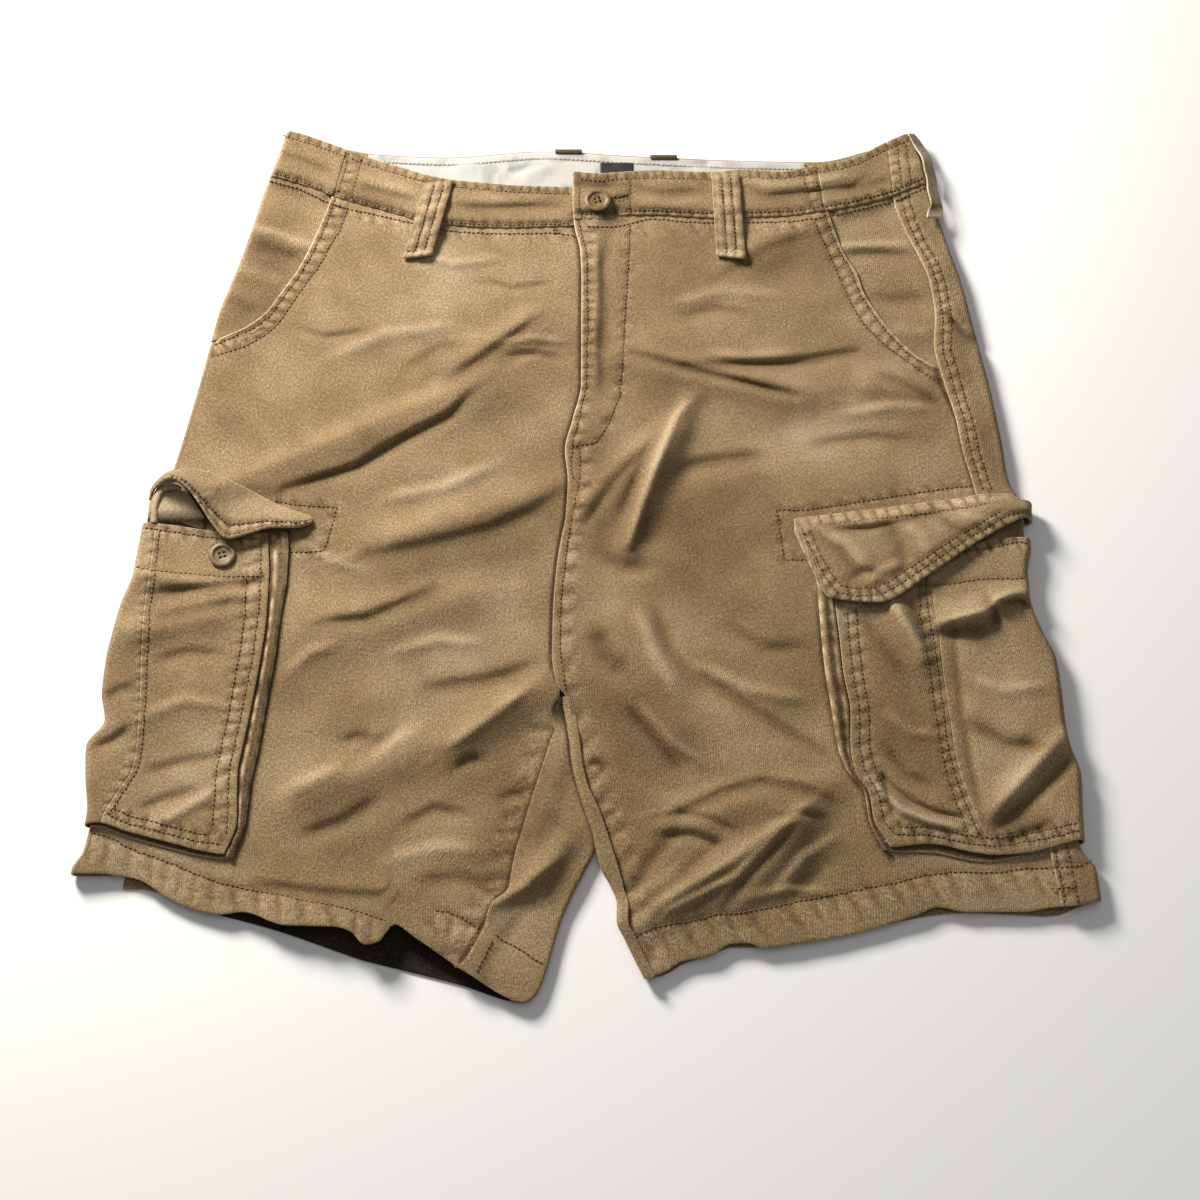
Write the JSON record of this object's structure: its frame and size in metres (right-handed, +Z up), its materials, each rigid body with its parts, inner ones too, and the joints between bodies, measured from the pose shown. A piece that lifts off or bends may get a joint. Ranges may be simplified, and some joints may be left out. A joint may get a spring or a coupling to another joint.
{
  "type": "cargo shorts",
  "caption": "Khaki cotton twill cargo shorts laid flat front up, with slanted hand pockets, flapped side cargo pockets, belt loops and a buttoned waistband.",
  "frame": {"origin": "middle of the garment's box in plan, on the surface that it lies on", "axes": "+X towards the wearer's left, +Y towards the waist, +Z up from the surface"},
  "size_m": [0.6212, 0.6099, 0.0245],
  "materials": {
    "khaki_twill": "matt washed cotton twill",
    "white_facing": "plain white cotton facing",
    "woven_tab": "plain dark woven tab",
    "button_resin": "satin polyester resin"
  },
  "bodies": {
    "root": {"front_right": "khaki_twill", "front_left": "khaki_twill", "back_right": "khaki_twill", "back_left": "khaki_twill", "pocket_facing_right": "khaki_twill", "pocket_facing_left": "khaki_twill", "waistband_front_right": "khaki_twill", "waistband_side_right": "khaki_twill", "waistband_front_left": "khaki_twill", "waistband_side_left": "khaki_twill", "waistband_back": "khaki_twill", "waistband_facing": "white_facing", "label_tab": "woven_tab", "belt_loop_front_right": "khaki_twill", "belt_loop_front_left": "khaki_twill", "belt_loop_side_left": "khaki_twill", "belt_loop_back_right": "khaki_twill", "belt_loop_back_left": "khaki_twill", "cargo_pocket_front_right": "khaki_twill", "cargo_pocket_rear_right": "khaki_twill", "cargo_gusset_right": "khaki_twill", "cargo_pocket_front_left": "khaki_twill", "cargo_pocket_rear_left": "khaki_twill", "cargo_gusset_left": "khaki_twill", "cargo_flap_left": "khaki_twill", "cargo_flap_right": "khaki_twill", "button_waist": "button_resin", "button_pocket_right": "button_resin"}
  },
  "joints": []
}
